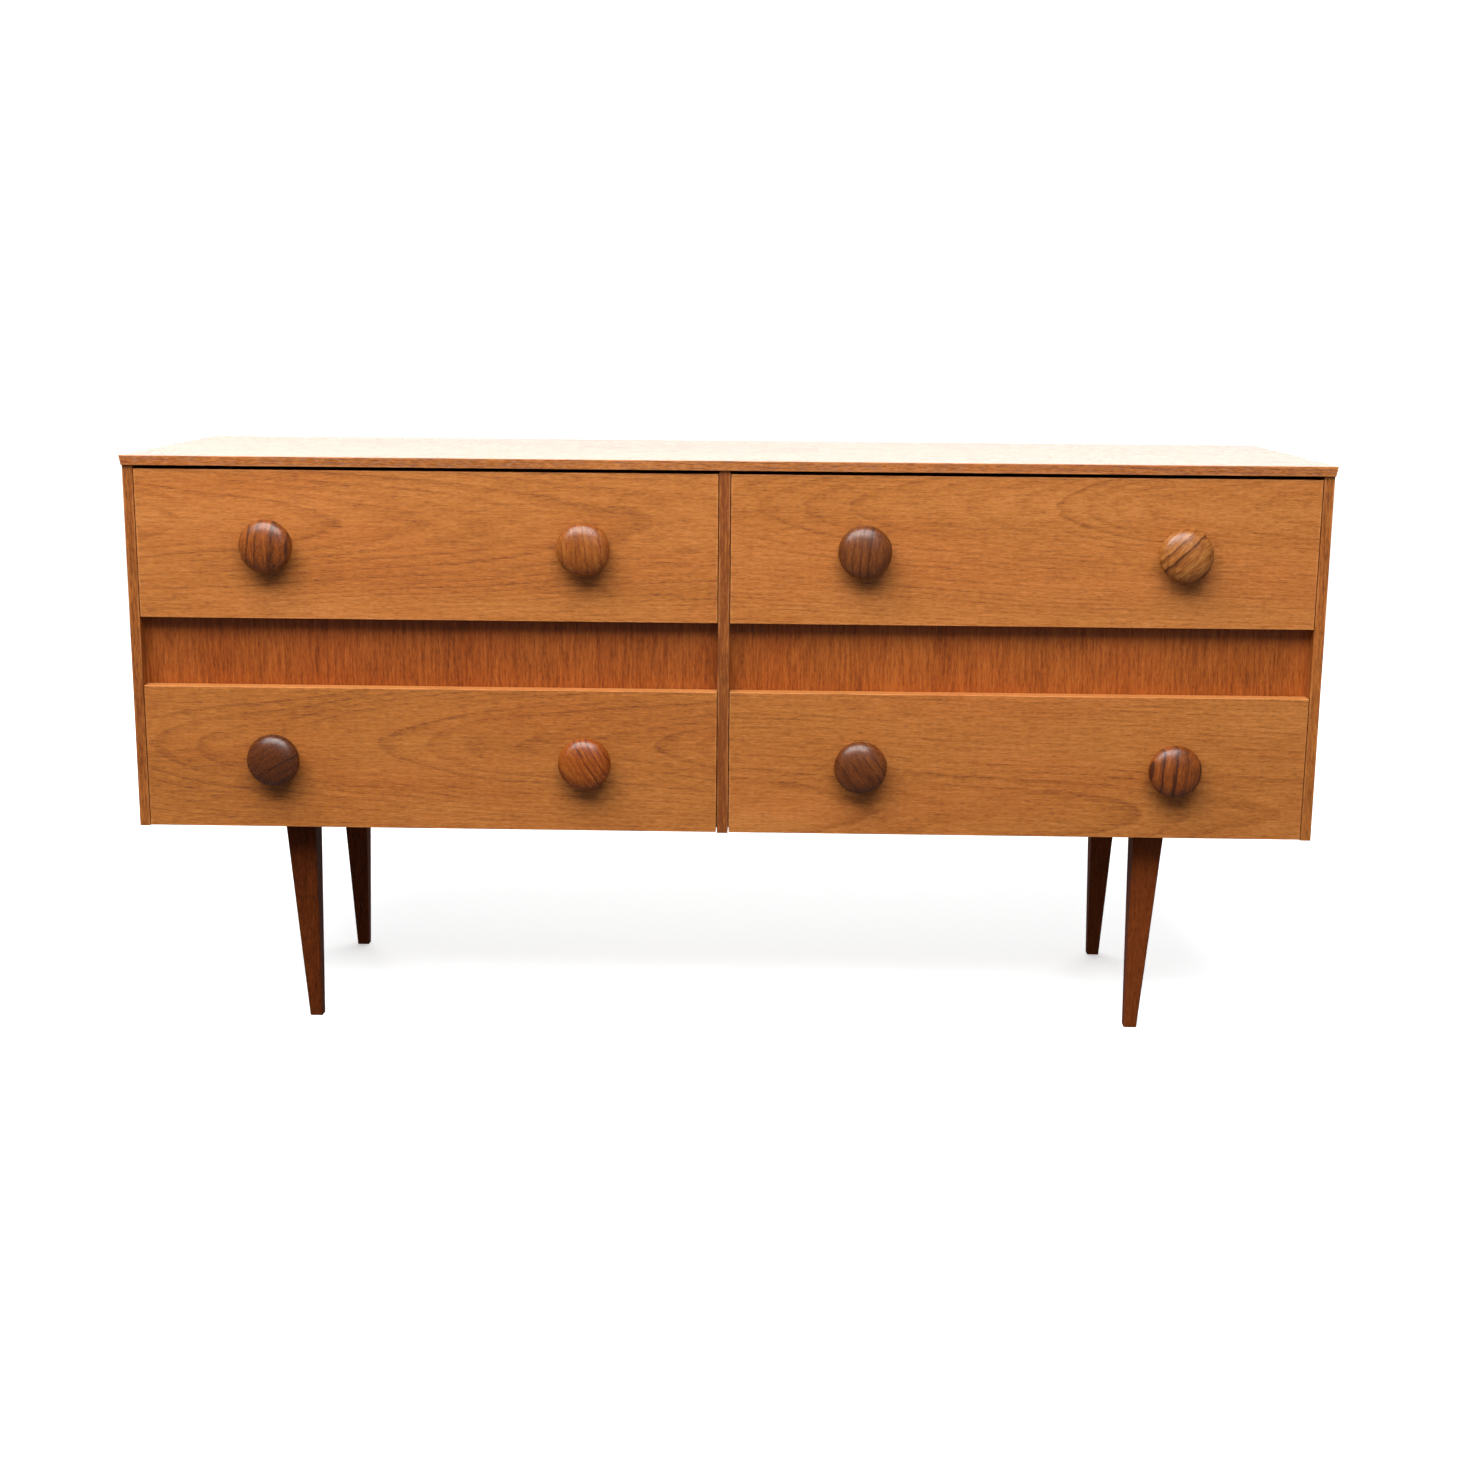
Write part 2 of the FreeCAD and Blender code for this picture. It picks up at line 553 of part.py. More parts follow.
def knob(label, x, z):
    """Turned knob: a neck, an undercut, a rounded rim and a slightly domed face."""
    body = new_body(label, x, "0", z)
    sketch = new_sketch(body, label + "_section", "XY_Plane")
    neck = "dims.knob_neck / 2"
    radius = "dims.knob_diameter / 2"
    under_x, under_y = "dims.knob_under / 2", "(dims.knob_neck_length + 1.5)"
    rim_y = "(dims.knob_projection * 0.56)"
    face_x, face_y = "dims.knob_face / 2", "(dims.knob_projection - dims.knob_face_drop)"
    under_arc = upright_arc(f"({radius} - {under_x})", f"({rim_y} - {under_y})")
    upper_arc = upright_arc(f"({radius} - {face_x})", f"({face_y} - {rim_y})")
    outline(
        sketch,
        [("dims.knob_screw / 2", "0"), (neck, "0"),
         (f"{neck} - 1.5", "-dims.knob_neck_length / 2"),
         (under_x, f"-{under_y}"), (radius, f"-{rim_y}"), (face_x, f"-{face_y}"),
         ("0", "-dims.knob_projection"), ("0", "-dims.knob_screw_grip - 1"),
         ("dims.knob_screw / 2", "-dims.knob_screw_grip - 1")],
        {3: under_arc, 4: upper_arc, 5: "dims.knob_diameter * 1.45"})
    spin = body.newObject("PartDesign::Revolution", label + "_turning")
    spin.Profile = sketch
    spin.ReferenceAxis = (sketch, ["V_Axis"])
    spin.Angle = 360
    doc.recompute()


def upright_arc(across, along):
    """Radius of an arc that spans two distances and ends parallel to the knob's axis."""
    return f"({across} * {across} + {along} * {along}) / (2 * {across})"


def turned(profile):
    """A solid of revolution about local Z from (radius, height) pairs."""
    points = [Vector(r, 0, h) for r, h in profile]
    face = Part.Face(Part.makePolygon(points + points[:1]))
    return face.revolve(Vector(0, 0, 0), Vector(0, 0, 1), 360)


def knob_screw(x, z):
    """Round-headed screw and its washer, from inside the drawer into the knob."""
    shank = mm("dims.knob_screw") / 2
    tip = mm("dims.knob_screw_grip")
    face = mm("dims.front_thickness")
    washer = 1.0
    length = tip + face + washer
    screw = turned([(0, 0), (shank * 0.3, 0.0), (shank, 3), (shank, length), (4.0, length),
                    (3.4, length + 1.6), (2.0, length + 2.6), (0, length + 3)])
    ring = turned([(mm("dims.knob_screw_hole") / 2, 0), (6, 0), (6, washer),
                   (mm("dims.knob_screw_hole") / 2, washer)])
    along_y = Rotation(Vector(1, 0, 0), -90)
    screw.Placement = Placement(Vector(x, -tip, z), along_y)
    ring.Placement = Placement(Vector(x, face, z), along_y)
    return [screw, ring]


# ---------------------------------------------------------------- fasteners
def leg_plates():
    """Steel plate on the underside of the bottom panel over each leg, with its five holes."""
    size, thick = mm("dims.plate_size"), mm("dims.plate_thickness")
    inset, z = mm("dims.plate_screw_inset"), mm("dims.leg_height")
    plate = Part.makeBox(size, size, thick, Vector(-size / 2, -size / 2, 0))
    plate = plate.makeFillet(8, [e for e in plate.Edges if abs(e.Length - thick) < 1e-6])
    plate = plate.cut(Part.makeCylinder(mm("dims.leg_bolt") / 2, thick))
    for x, y in plate_corners():
        plate = plate.cut(Part.makeCylinder(mm("dims.plate_screw") / 2 + 0.3, thick, Vector(x, y, 0)))
    copies = []
    for x, y in leg_centres():
        copy = plate.copy()
        copy.translate(Vector(mm(x), mm(y), z))
        copies.append(copy)
    group("leg_plates", copies)


def plate_corners():
    """Screw positions round a leg's centre."""
    reach = mm("dims.plate_size / 2 - dims.plate_screw_inset")
    return [(sx * reach, sy * reach) for sx in (-1, 1) for sy in (-1, 1)]


def leg_fixings():
    """One hanger bolt per leg and four pan-headed screws per plate."""
    radius = mm("dims.leg_bolt") / 2
    z = mm("dims.leg_height")
    bolt_low, bolt_high = mm("dims.leg_bolt_low"), mm("dims.leg_bolt_high")
    bolts, screws = [], []
    for x, y in leg_centres():
        bolt = turned([(0, -bolt_low), (radius * 0.4, -bolt_low), (radius, -bolt_low + 5),
                       (radius, bolt_high - 1), (radius - 1, bolt_high), (0, bolt_high)])
        bolt.translate(Vector(mm(x), mm(y), z))
        bolts.append(bolt)
        for dx, dy in plate_corners():
            shank = mm("dims.plate_screw") / 2
            top = mm("dims.plate_thickness") + 11
            screw = turned([(0, -2), (2.6, -2), (3.6, -1), (3.6, 0), (shank, 0), (shank, top - 3),
                            (0.3, top), (0, top)])
            screw.translate(Vector(mm(x) + dx, mm(y) + dy, z))
            screws.append(screw)
    group("leg_bolts", bolts)
    group("leg_plate_screws", screws)


def runner_screws():
    """Countersunk screws, two to a runner, into the side panels and the partition."""
    head, reach = mm("dims.runner_screw"), mm("dims.runner_width") + 6
    shank = head / 2 - 0.1
    screw = turned([(0, 0), (head, 0), (shank, head - shank), (shank, reach - 3), (0.3, reach),
                    (0, reach)])
    screws = []
    for row in ("upper", "lower"):
        z = mm(f"dims.leg_height + dims.{row}_box_bottom + dims.box_height / 2")
        for hand in ("left", "right"):
            low = mm(bay_x(hand))
            high = mm(f"{bay_x(hand)} + {bay_width}")
            width = mm("dims.runner_width")
            for x, turn in ((low + width, -90), (high - width, 90)):
                for end in ("dims.runner_screw_inset", "dims.runner_length - dims.runner_screw_inset"):
                    copy = screw.copy()
                    copy.Placement = Placement(Vector(x, mm(f"dims.runner_setback + {end}"), z),
                                               Rotation(Vector(0, 1, 0), turn))
                    screws.append(copy)
    group("runner_screws", screws)


def back_pins():
    """Flat-headed pins through the back panel, round its edge and down the partition."""
    proud = mm("dims.pin_proud")
    pin = turned([(0, -17), (0.7, -15), (0.7, -0.6), (1.9, -0.6), (1.9, proud), (0, proud)])
    edge = mm(f"{inner_x} + dims.back_rebate / 2")
    low = mm(f"dims.leg_height + {bottom_top} - dims.bottom_thickness / 2")
    rise = (mm(f"dims.leg_height + {side_height}") - low - 80) / 4
    run = (2 * edge - 120) / 10
    spots = [(x, low + 40 + rise * i) for x in (-edge, 0, edge) for i in range(5)]
    spots += [(-edge + 60 + run * i, low) for i in range(11)]
    pins = []
    for x, z in spots:
        copy = pin.copy()
        copy.Placement = Placement(Vector(x, mm("dims.case_depth"), z), Rotation(Vector(1, 0, 0), -90))
        pins.append(copy)
    group("back_panel_pins", pins)


def case_dowels():
    """Every dowel of the case joints, each a plain peg that fills its two holes."""
    radius = mm("dims.dowel") / 2
    long, short, shallow = mm("dims.dowel_long"), mm("dims.dowel_short"), mm("dims.dowel_shallow")
    base = mm("dims.leg_height")
    rows = [mm(f"dims.dowel_inset + {i} * {dowel_step}") for i in range(int(mm("dims.dowel_row")))]
    side_x = mm("dims.case_width / 2 - dims.side_thickness / 2")
    top_z = base + mm(side_height)
    bottom_z = base + mm("dims.bottom_lift + dims.bottom_thickness / 2")
    inner = mm(inner_x)
    up, right = Vector(0, 0, 1), Vector(1, 0, 0)
    pegs = []
    for y in rows:
        for x in (-side_x, 0, side_x):
            pegs.append(Part.makeCylinder(radius, long + short, Vector(x, y, top_z - long), up))
        pegs.append(Part.makeCylinder(radius, long + short,
                                      Vector(0, y, base + mm(bottom_top) - short), up))
        pegs.append(Part.makeCylinder(radius, long + short, Vector(-inner - short, y, bottom_z), right))
        pegs.append(Part.makeCylinder(radius, long + short, Vector(inner - long, y, bottom_z), right))
    recess_y = mm("dims.recess_setback + dims.recess_thickness / 2")
    half = mm(half_partition)
    for share in (0.25, 0.75):
        z = base + mm(f"dims.recess_bottom + dims.recess_height * {share}")
        for x, length in ((-inner - short, short + long), (inner - long, short + long),
                          (-half - long, shallow + long), (half - shallow, shallow + long)):
            pegs.append(Part.makeCylinder(radius, length, Vector(x, recess_y, z), right))
    group("case_dowels", pegs)


# ---------------------------------------------------------------- assembly
top_panel()
side_panel("left")
side_panel("right")
centre_partition()
bottom_panel()
back_panel()
for hand in ("left", "right"):
    recess_panel(hand)
leg("leg_front_left", 0, 180)
leg("leg_front_right", 1, -90)
leg("leg_back_right", 2, 0)
leg("leg_back_left", 3, 90)
for row in ("upper", "lower"):
    for hand in ("left", "right"):
        for place in ("outer", "inner"):
            runner(row, hand, place)
        drawer(row, hand)
leg_plates()
leg_fixings()
runner_screws()
back_pins()
case_dowels()
doc.recompute()

# ---------------------------------------------------------------- checks and export
for item in doc.Objects:
    if "Invalid" in item.State or "Error" in item.State:
        raise RuntimeError(f"{item.Label} did not build: {item.State}")
for item in built:
    if item.Shape.isNull() or not item.Shape.isValid() or item.Shape.Volume <= 0:
        raise RuntimeError(f"{item.Label} has no valid solid")

os.makedirs("parts", exist_ok=True)
for item in built:
    item.Shape.exportStep(f"parts/{item.Label}.step")
print(len(built), "nodes,", sum(len(item.Shape.Solids) for item in built), "solids")
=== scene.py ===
import math

import bpy
import numpy as np
from mathutils import Matrix, Vector


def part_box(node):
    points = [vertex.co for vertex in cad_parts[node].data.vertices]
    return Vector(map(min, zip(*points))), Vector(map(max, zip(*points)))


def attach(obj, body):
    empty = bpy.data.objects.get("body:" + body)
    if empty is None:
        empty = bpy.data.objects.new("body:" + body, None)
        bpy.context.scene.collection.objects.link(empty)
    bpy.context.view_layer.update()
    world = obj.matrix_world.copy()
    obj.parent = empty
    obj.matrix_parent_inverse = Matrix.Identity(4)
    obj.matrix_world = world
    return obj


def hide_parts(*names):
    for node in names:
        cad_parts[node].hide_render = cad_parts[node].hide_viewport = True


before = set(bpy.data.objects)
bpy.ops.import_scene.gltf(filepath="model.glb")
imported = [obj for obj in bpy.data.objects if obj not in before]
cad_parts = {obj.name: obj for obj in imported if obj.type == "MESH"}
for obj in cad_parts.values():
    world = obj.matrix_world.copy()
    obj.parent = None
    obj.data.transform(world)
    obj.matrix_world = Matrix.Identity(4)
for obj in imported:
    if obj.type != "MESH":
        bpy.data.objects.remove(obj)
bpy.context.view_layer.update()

print("frame loaded:", len(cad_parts), "nodes")

# camera: where it stands in metres, its heading, tilt and roll in degrees, its lens in millimetres
viewpoint = {"place": (0.0561, -2.706, 0.9271), "heading": -1.12, "tilt": -11.478, "roll": 0.478,
             "lens": 49.06, "sensor": 36, "nearest": 0.05}


def makeCamera(look):
    # the view direction comes from heading and tilt, then the frame rolls about it
    heading, tilt, roll = (math.radians(look[k]) for k in ("heading", "tilt", "roll"))
    ahead = Vector((math.sin(heading) * math.cos(tilt), math.cos(heading) * math.cos(tilt), math.sin(tilt)))
    level = Vector((math.cos(heading), -math.sin(heading), 0))
    above = level.cross(ahead)
    right = math.cos(roll) * level + math.sin(roll) * above
    up = math.cos(roll) * above - math.sin(roll) * level
    data = bpy.data.cameras.new("camera")
    data.lens = look["lens"]
    data.sensor_width = look["sensor"]
    data.clip_start = look["nearest"]
    camera = bpy.data.objects.new("camera", data)
    facing = Matrix((right, up, -ahead)).transposed().to_4x4()
    camera.matrix_world = Matrix.Translation(look["place"]) @ facing
    bpy.context.collection.objects.link(camera)
    bpy.context.scene.camera = camera


makeCamera(viewpoint)


# shader maths: a Value is one socket, and sums on Values add Math nodes
class Value:
    def __init__(self, tree, socket):
        self.tree = tree
        self.socket = socket

    def on(self, operation, *others):
        return self.tree.node("ShaderNodeMath", {"operation": operation}, dict(enumerate((self, *others))))

    def before(self, operation, first):
        return self.tree.node("ShaderNodeMath", {"operation": operation}, {0: first, 1: self})

    def __add__(self, other):
        return self.on("ADD", other)

    def __sub__(self, other):
        return self.on("SUBTRACT", other)

    def __rsub__(self, other):
        return self.before("SUBTRACT", other)

    def __mul__(self, other):
        return self.on("MULTIPLY", other)

    def __truediv__(self, other):
        return self.on("DIVIDE", other)

    def __pow__(self, other):
        return self.on("POWER", other)

    def __abs__(self):
        return self.on("ABSOLUTE")

    __radd__ = __add__
    __rmul__ = __mul__


class Tree:
    def __init__(self, name):
        self.material = bpy.data.materials.new(name)
        self.material.use_nodes = True
        self.tree = self.material.node_tree
        self.tree.nodes.clear()

    def node(self, kind, settings=None, inputs=None, out=0):
        # one way in for every node: its settings first, then the values or links of its sockets
        made = self.tree.nodes.new(kind)
        for key, value in (settings or {}).items():
            if key == "stops":
                while len(made.color_ramp.elements) < len(value):
                    made.color_ramp.elements.new(0.5)
                for stop, (place, colour) in zip(made.color_ramp.elements, value):
                    stop.position, stop.color = place, (*colour, 1)
            else:
                setattr(made, key, value)
        for key, value in (inputs or {}).items():
            if isinstance(value, Value):
                self.tree.links.new(value.socket, made.inputs[key])
            else:
                made.inputs[key].default_value = value
        return Value(self, made.outputs[out]) if made.outputs else None

    def noise(self, vector, scale=1.0, detail=2.0, rough=0.5, bend=0.0):
        return self.node("ShaderNodeTexNoise", {"noise_dimensions": "3D"},
                         {"Vector": vector, "Scale": scale, "Detail": detail, "Roughness": rough,
                          "Distortion": bend})

    def vector(self, x, y, z):
        return self.node("ShaderNodeCombineXYZ", None, {0: x, 1: y, 2: z})

    def split(self, vector):
        return [self.node("ShaderNodeSeparateXYZ", None, {0: vector}, out=i) for i in range(3)]

    def step(self, value, low, high):
        # 0 below low, 1 above high, eased between
        return self.node("ShaderNodeMapRange", {"interpolation_type": "SMOOTHSTEP"},
                         {0: value, 1: low, 2: high, 3: 0.0, 4: 1.0})

    def mix(self, share, first, second, blend="MIX"):
        return self.node("ShaderNodeMix", {"data_type": "RGBA", "blend_type": blend},
                         {0: share, 6: first, 7: second}, out=2)

    def finish(self, colour, rough, height, depth, **fixed):
        # fixed are numbers set on the shader's own sockets
        bump = self.node("ShaderNodeBump", None, {"Strength": 1.0, "Distance": depth, "Height": height})
        shader = self.node("ShaderNodeBsdfPrincipled", None,
                           {"Base Color": colour, "Roughness": rough, "Normal": bump,
                            **{key.replace("_", " "): value for key, value in fixed.items()}})
        self.node("ShaderNodeOutputMaterial", None, {"Surface": shader})
        return self.material


def rgb(*parts):
    return (*parts, 1.0)


def edgeCloseness(t, place, box, width):
    # distances to the three nearest faces of the box; the middle one is the distance to the nearest edge
    low, high = box
    gaps = [(high[i] - low[i]) / 2 - abs(place[i] - (high[i] + low[i]) / 2) for i in range(3)]
    small, large = gaps[0].on("MINIMUM", gaps[1]), gaps[0].on("MAXIMUM", gaps[1])
    middle = small.on("MAXIMUM", large.on("MINIMUM", gaps[2]))
    return 1 - t.step(middle, 0.0, width)


# timber: one recipe for every piece of wood
# Growth rings are cylinders round a pith that runs nearly along the grain: the distance from the pith,
# divided by the ring width, counts the rings, and its fraction darkens towards the end of each season.
plainTimber = {
    "axes": "xzy",  # along the grain, across it, through the board
    "seed": 0,
    "pith": (0.0, 0.09),  # pith across from the board's middle and behind its face
    "slope": 0.02,  # how fast the pith comes nearer along the grain
    "ring": 0.0048,
    "wander": 0.018,
    "dark": (0.20, 0.052, 0.010),
    "mid": (0.410, 0.132, 0.023),
    "light": (0.57, 0.212, 0.054),
    "bands": 0.20,
    "broad": 0.42,
    "streaks": 0.75,
    "fibres": 1.0,
    "blotches": 0.40,
    "flecks": 0.30,
    "tone": 0.0,
    "ruddy": 0.6,  # slow drift of the colour towards red
    "pores": 0.5,
    "rough": 0.40,
    "relief": 0.00012,
    "gloss": 0.3,
    "wear": 0.25,
    "paintedFaceLight": 0.0,  # how much darker the edges of a flat panel are painted than its upper face: painted light on that face, a sheen on the top and a highlight along the lower fronts' top edges
    "box": None,
    "centre": (0, 0, 0),
    "turn": (0, 0, 0),
    "stretch": 1.0,  # shorter features for small turned pieces
    "rings": 0.0,  # circular tool marks of a lathe
}

# noise layers of the figure: repeats in a metre along the grain and across it, how fine the noise is, and
# whether the piece's own shift moves the layer across or through the board
layers = {
    "bend": {"along": 1.3, "across": 3.0, "moved": "across", "detail": 1.5},
    "sway": {"along": 2.1, "across": 1.5, "moved": "through", "start": 5.0},
    "ripple": {"along": 9.0, "across": 120.0},
    "broad": {"along": 2.6, "across": 24.0, "moved": "across", "detail": 3, "bend": 0.6},
    "streak": {"along": 26.0, "across": 330.0, "moved": "across", "detail": 3, "rough": 0.6},
    "fibre": {"along": 95.0, "across": 680.0, "rough": 0.7},
    "blotch": {"along": 1.6, "across": 5.0, "moved": "through"},
    "pore": {"along": 120.0, "across": 1900.0, "detail": 1},
    "drift": {"along": 2.4, "across": 11.0, "moved": "through", "detail": 3},
    "fleck": {"along": 17.0, "across": 260.0, "moved": "through", "detail": 1.5},
    "rub": {"along": 14.0, "across": 60.0, "detail": 3},
}
# the two values of its noise between which a feature sets in
fades = {"strong": (0.25, 0.75), "pore": (0.60, 0.70), "drift": (0.40, 0.72), "fleck": (0.66, 0.80),
         "rub": (0.38, 0.62)}
figure = {
    "seedStep": 3.17,  # metres that one seed moves a piece through the noise
    "deepSway": 1.4,  # how much more the pith wanders in depth than sideways
    "ripple": 0.4,  # rings by which the fine ripple moves a ring
    "uneven": 2.5,  # rings by which the ring width drifts
    "unevenPitch": 30.0,  # repeats of that drift in a metre
    "rise": 4.0,  # power of the slow darkening through a season
    "fall": 18.0,  # power of its sudden end
    "late": 1.9,  # strength of the dark end of a season
    "ringStep": 0.73,  # distance of neighbouring rings in the noise that makes some rings darker
    "ringPitch": 2.2,  # repeats of that noise in a metre along the grain
    "plain": 0.56,  # shade of timber without any figure
    "shades": (0.08, 0.5, 0.92),  # where the dark, the middle and the light colour stand
    "poreDark": 0.38,  # colour of a pore, as a share of the dark colour
    "wornGain": 1.45,  # rubbed edges are the light colour, raised by this factor and this much more
    "wornLift": 0.02,
    "lathe": 2600.0,  # repeats of the tool marks in a metre
}
paintedFaceLight = (0.0012, 0.0002)  # metres under the upper face between which a panel's edge turns dark, where the painted light of the upper face ends
wearWidth = 0.0032
redder = (1.0, 0.86, 0.84)


def layer(t, grain, name):
    # noise at (along, across, through) times the layer's repeats, one of them moved by the shift
    look = layers[name]
    spot = {"along": grain["along"] * look["along"], "across": grain["across"] * look["across"],
            "through": grain["through"] * look["across"]}
    if "start" in look:
        spot["along"] = spot["along"] + look["start"]
    if "moved" in look:
        spot[look["moved"]] = spot[look["moved"]] + grain["shift"]
    return t.noise(t.vector(*spot.values()), detail=look.get("detail", 2), rough=look.get("rough", 0.5),
                   bend=look.get("bend", 0.0))


def timber(name, **changes):
    look = {**plainTimber, **changes}
    t = Tree(name)
    raw = t.node("ShaderNodeTexCoord", out="Object")
    turned = t.node("ShaderNodeMapping", {"vector_type": "TEXTURE"},
                    {"Vector": raw, "Location": look["centre"], "Rotation": look["turn"]})
    place = dict(zip("xyz", t.split(turned)))
    shift = look["seed"] * figure["seedStep"]
    along, across, through = (place[axis] for axis in look["axes"])
    along = along * look["stretch"] + shift
    grain = {"along": along, "across": across, "through": through, "shift": shift}
    bend = layer(t, grain, "bend") - 0.5
    sway = layer(t, grain, "sway") - 0.5
    side = across - look["pith"][0] + bend * look["wander"]
    lean = (along - shift) * look["slope"]
    deep = through + lean + sway * look["wander"] * figure["deepSway"] + look["pith"][1]
    radius = (side * side + deep * deep) ** 0.5
    ripple = layer(t, grain, "ripple") - 0.5
    uneven = t.noise(t.vector(radius * figure["unevenPitch"], shift, 0.0), detail=1)
    count = radius / look["ring"] + ripple * figure["ripple"] + uneven * figure["uneven"]
    season = count.on("FRACT")
    ringNumber = count.on("FLOOR") * figure["ringStep"]
    strong = t.noise(t.vector(ringNumber, along * figure["ringPitch"], shift), detail=1)
    late = season ** figure["rise"] * (1 - season ** figure["fall"])
    late = late * t.step(strong, *fades["strong"]) * figure["late"]
    broad = layer(t, grain, "broad") - 0.5
    streak = layer(t, grain, "streak") - 0.5
    fibre = layer(t, grain, "fibre") - 0.5
    blotch = layer(t, grain, "blotch") - 0.5
    shade = (figure["plain"] + look["tone"] - late * look["bands"] + broad * look["broad"]
             + streak * look["streaks"] + fibre * look["fibres"] + blotch * look["blotches"])
    # painted light: the edges under a panel's upper face are painted darker, so that upper face reads as lit
    if look["paintedFaceLight"]:
        face = look["box"][1][2]
        paintedLitFace = t.step(t.split(raw)[2], *(face - depth for depth in paintedFaceLight))
        shade = shade - look["paintedFaceLight"] * (1 - paintedLitFace)
    stops = list(zip(figure["shades"], (look["dark"], look["mid"], look["light"])))
    colour = t.node("ShaderNodeValToRGB", {"stops": stops}, {0: shade})
    pore = t.step(layer(t, grain, "pore") - streak * 0.25 + late * 0.05, *fades["pore"])
    drift = t.step(layer(t, grain, "drift"), *fades["drift"])
    colour = t.mix(drift * look["ruddy"], colour, rgb(*redder), "MULTIPLY")
    fleck = t.step(layer(t, grain, "fleck"), *fades["fleck"])
    colour = t.mix(fleck * look["flecks"], colour, rgb(*look["dark"]))
    colour = t.mix(pore * look["pores"], colour, rgb(*(c * figure["poreDark"] for c in look["dark"])))
    rough = look["rough"] + fibre * 0.16 + pore * 0.18 + blotch * 0.10
    height = 1 - pore * 0.9 + fibre * 0.5 + late * 0.25
    if look["rings"]:
        axis = (place["x"] * place["x"] + place["z"] * place["z"]) ** 0.5
        height = height + t.noise(t.vector(axis * figure["lathe"], shift, 0.0), detail=1) * look["rings"]
    if look["box"]:
        rubbed = t.step(layer(t, grain, "rub"), *fades["rub"])
        worn = edgeCloseness(t, t.split(raw), look["box"], wearWidth) * rubbed * look["wear"]
        pale = (min(1.0, c * figure["wornGain"] + figure["wornLift"]) for c in look["light"])
        colour = t.mix(worn, colour, rgb(*pale))
        rough = rough + worn * 0.3
    return t.finish(colour, rough, height, look["relief"], Specular_IOR_Level=look["gloss"])


def dress(node, material):
    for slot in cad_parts[node].material_slots:
        slot.material = material


# case: top, sides, partition, recessed panels and bottom
recessed = {"axes": "zxy", "slope": 0.05, "ring": 0.009, "bands": 0.06, "broad": 0.45, "streaks": 1.1,
            "fibres": 0.9}
case = {
    # the top's tone is raised as a painted sheen on its upper face, with its edges painted back down
    "top_panel": {"axes": "xyz", "seed": 3, "pith": (0.03, 0.16), "slope": 0.03, "rough": 0.27, "gloss": 0.7,
                  "tone": 0.14, "paintedFaceLight": 0.28, "wear": 0.3},
    "side_panel_left": {"axes": "zyx", "seed": 5, "pith": (-0.05, 0.12), "slope": 0.05, "tone": -0.24},
    "side_panel_right": {"axes": "zyx", "seed": 6, "pith": (0.08, 0.12), "slope": 0.05, "tone": -0.20},
    "centre_partition": {"axes": "zyx", "seed": 7, "pith": (0.0, 0.10), "tone": -0.42, "streaks": 0.9},
    # the recessed panels' colours are their own redder veneer, painted darker as well as painted shade of the
    # recess under the upper fronts
    "recess_panel_left": {**recessed, "seed": 8, "pith": (-0.2, 0.30), "dark": (0.11, 0.021, 0.003),
                          "mid": (0.265, 0.059, 0.007), "light": (0.39, 0.103, 0.016)},
    "recess_panel_right": {**recessed, "seed": 11, "pith": (0.25, 0.30), "dark": (0.13, 0.025, 0.003),
                           "mid": (0.300, 0.070, 0.008), "light": (0.42, 0.115, 0.018)},
    "bottom_panel": {"axes": "xyz", "seed": 13, "pith": (0.1, 0.05), "slope": 0.06, "ring": 0.012,
                     "rough": 0.7, "dark": (0.27, 0.15, 0.07), "mid": (0.42, 0.27, 0.14),
                     "light": (0.55, 0.39, 0.22), "gloss": 0.2, "wear": 0.1},
}


def dressCase(boards):
    for node, look in boards.items():
        dress(node, timber(node, box=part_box(node), **look))


# drawer fronts: each leaf of veneer has its own figure
fronts = {
    # the left fronts' tones are set lower than the right ones' as painted shade, the light falling more from
    # the right
    "upper_left_front": {"seed": 21, "pith": (0.03, 0.10), "slope": 0.05, "wander": 0.016, "tone": -0.03},
    "upper_right_front": {"seed": 22, "pith": (0.06, 0.07), "slope": -0.09, "wander": 0.024, "tone": 0.05},
    # the lower fronts' tone is raised and their edges taken back down, so their top faces carry a painted
    # highlight
    "lower_left_front": {"seed": 23, "pith": (0.02, 0.08), "slope": -0.07, "wander": 0.024, "tone": 0.36,
                         "paintedFaceLight": 0.40},
    "lower_right_front": {"seed": 24, "pith": (-0.06, 0.12), "slope": 0.04, "wander": 0.018, "tone": 0.42,
                          "paintedFaceLight": 0.40},
}


def dressFronts(leaves):
    for node, look in leaves.items():
        low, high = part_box(node)
        middle = ((low[0] + high[0]) / 2, low[1], (low[2] + high[2]) / 2)
        dress(node, timber(node, box=(low, high), centre=middle, **look))


# drawer boxes and runners: pale hardwood, left with a thin seal
drawerBox = {"dark": (0.33, 0.18, 0.075), "mid": (0.52, 0.33, 0.16), "light": (0.66, 0.46, 0.26),
             "rough": 0.5, "gloss": 0.3, "pores": 0.35, "wear": 0.12}
boxBoards = {"side_left": "yzx", "side_right": "yzx", "back": "xzy", "bottom": "xyz"}
thinBoard = {"ring": 0.03, "pores": 0.15, "rough": 0.58}
drawers = ("upper_left", "upper_right", "lower_left", "lower_right")
boxSeed, runnerSeed = 40, 61


